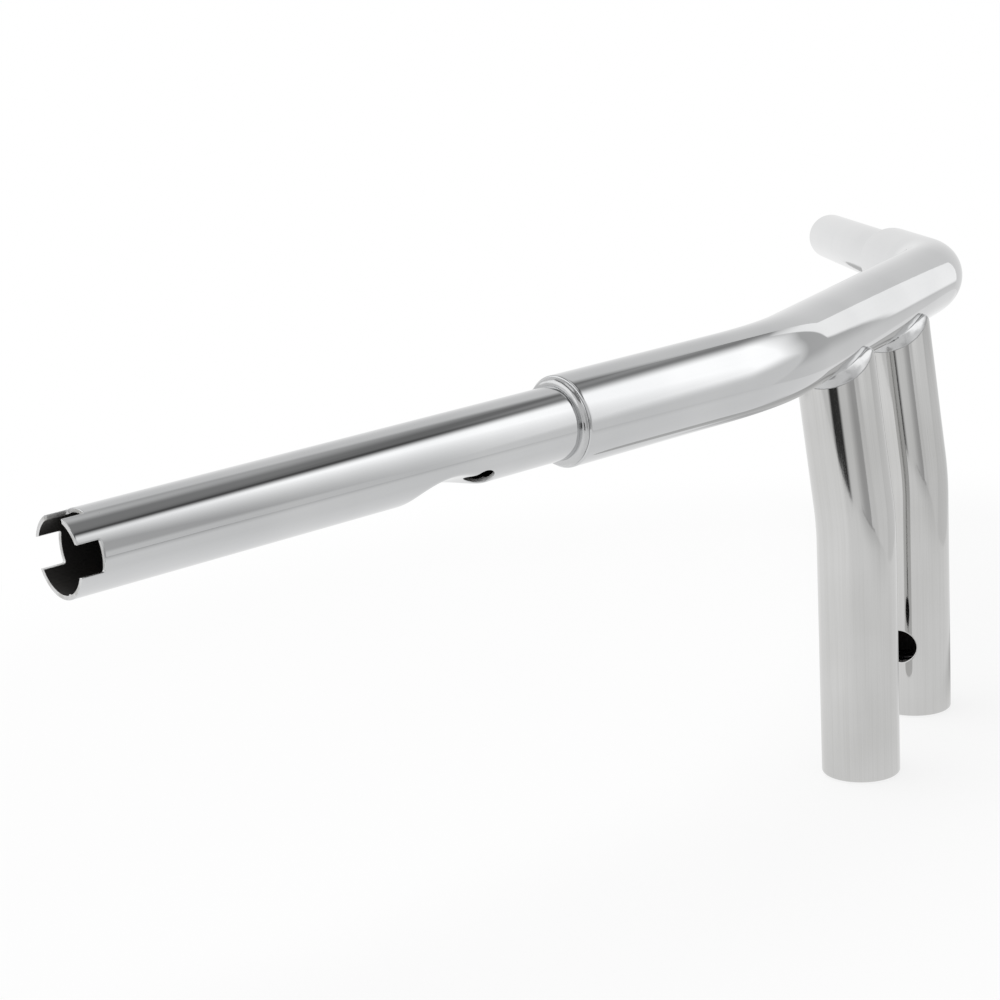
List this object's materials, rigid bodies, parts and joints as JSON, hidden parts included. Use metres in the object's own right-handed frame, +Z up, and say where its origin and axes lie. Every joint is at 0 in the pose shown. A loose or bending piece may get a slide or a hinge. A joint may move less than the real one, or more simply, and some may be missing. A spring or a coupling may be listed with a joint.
{
  "type": "motorcycle handlebar",
  "caption": "Bright plated motorcycle handlebar with a thick swept-back centre tube, thinner hand tubes, and bent risers welded on below it.",
  "frame": {"origin": "midway between the two riser feet, on the plane they stand on", "axes": "+X to the rider's right hand, +Y to the front of the motorcycle, +Z up along the riser feet"},
  "size_m": [0.7939, 0.1616, 0.1975],
  "materials": {
    "plated_tube": "bright plated and polished",
    "plated_weld": "plated over dressed weld",
    "bung_steel": "turned, tapped and plated"
  },
  "bodies": {
    "root": {"crossbar": "plated_tube", "right_grip_tube": "plated_tube", "right_riser": "plated_tube", "right_bung": "bung_steel", "right_step_weld": "plated_weld", "right_outer_weld": "plated_weld", "right_inner_weld": "plated_weld", "left_grip_tube": "plated_tube", "left_riser": "plated_tube", "left_bung": "bung_steel", "left_step_weld": "plated_weld", "left_outer_weld": "plated_weld", "left_inner_weld": "plated_weld"}
  },
  "joints": []
}
